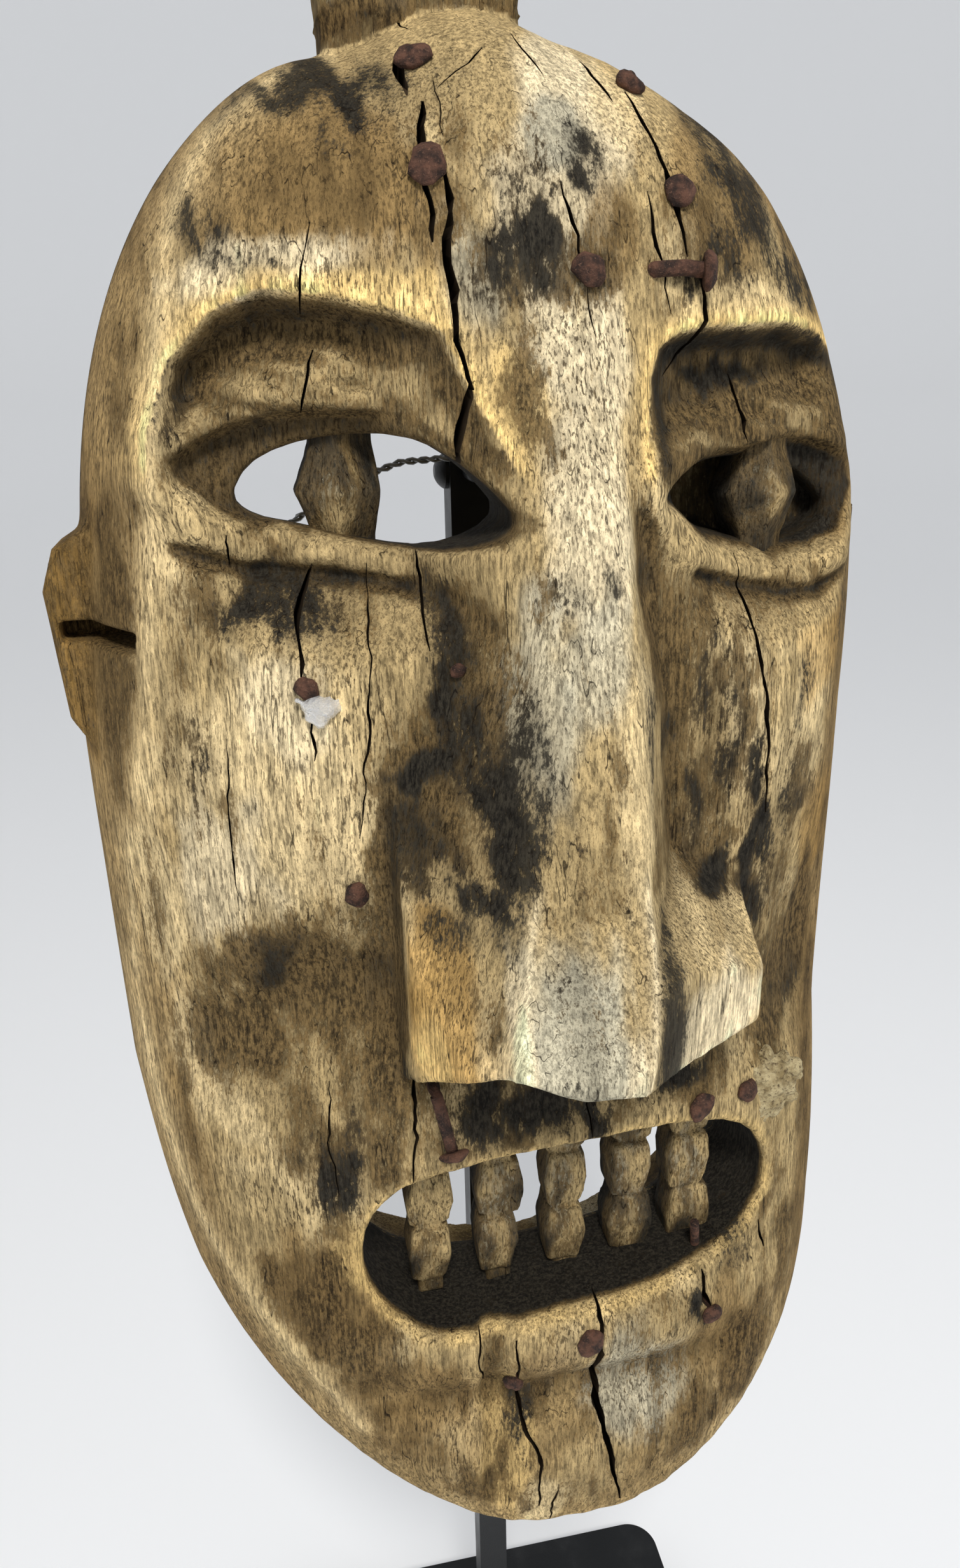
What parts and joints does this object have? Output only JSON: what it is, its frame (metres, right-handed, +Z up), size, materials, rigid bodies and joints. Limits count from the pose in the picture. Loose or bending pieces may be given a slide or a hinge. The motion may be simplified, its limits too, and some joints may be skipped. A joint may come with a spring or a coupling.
{
  "type": "carved wooden mask on display stand",
  "caption": "Carved wooden face mask with one pierced and one recessed eye, barred mouth, iron nails and a crest, hanging by a wire on a black steel post with a base plate.",
  "frame": {"origin": "centre of the underside of the stand's felt pad, where it rests on a table", "axes": "+Z up along the post, the mask faces -Y, +X to the viewer's right"},
  "size_m": [0.1563, 0.1454, 0.539],
  "materials": {
    "carved_wood": "weathered open-grained carved wood, matt, darkened in the hollows",
    "bar_wood": "weathered dark wood, matt",
    "rusty_iron": "rusted forged iron, matt",
    "resin": "crystalline resin",
    "putty": "granular wood filler",
    "wire": "dull galvanised wire",
    "black_steel": "satin black powder coat",
    "plain_steel": "plain steel",
    "cork": "cork",
    "felt": "black felt"
  },
  "bodies": {
    "stand": {"base_plate": "black_steel", "felt_pad": "felt", "post_screw": "plain_steel", "post": "black_steel", "wire_hook": "black_steel", "hook_nut": "plain_steel", "clamp_bolt": "black_steel", "chin_rest": "cork"},
    "mask": {"mask_shell": "carved_wood", "pupil_post_left": "bar_wood", "pupil_post_right": "bar_wood", "tooth_bar_1": "bar_wood", "tooth_bar_2": "bar_wood", "tooth_bar_3": "bar_wood", "tooth_bar_4": "bar_wood", "tooth_bar_5": "bar_wood", "crown_nails": "rusty_iron", "forehead_nails": "rusty_iron", "staple_nail": "rusty_iron", "cheek_nails": "rusty_iron", "lip_nails": "rusty_iron", "bent_nail": "rusty_iron", "mouth_nail": "rusty_iron", "chin_nails": "rusty_iron", "resin_lump": "resin", "putty_patch": "putty", "wire_nails": "rusty_iron", "hanging_wire": "wire"}
  },
  "joints": [
    {"name": "mask_lift", "type": "slide", "parent": "stand", "child": "mask", "axis": [0, 0, 1], "range_m": [0, 0.26]}
  ]
}
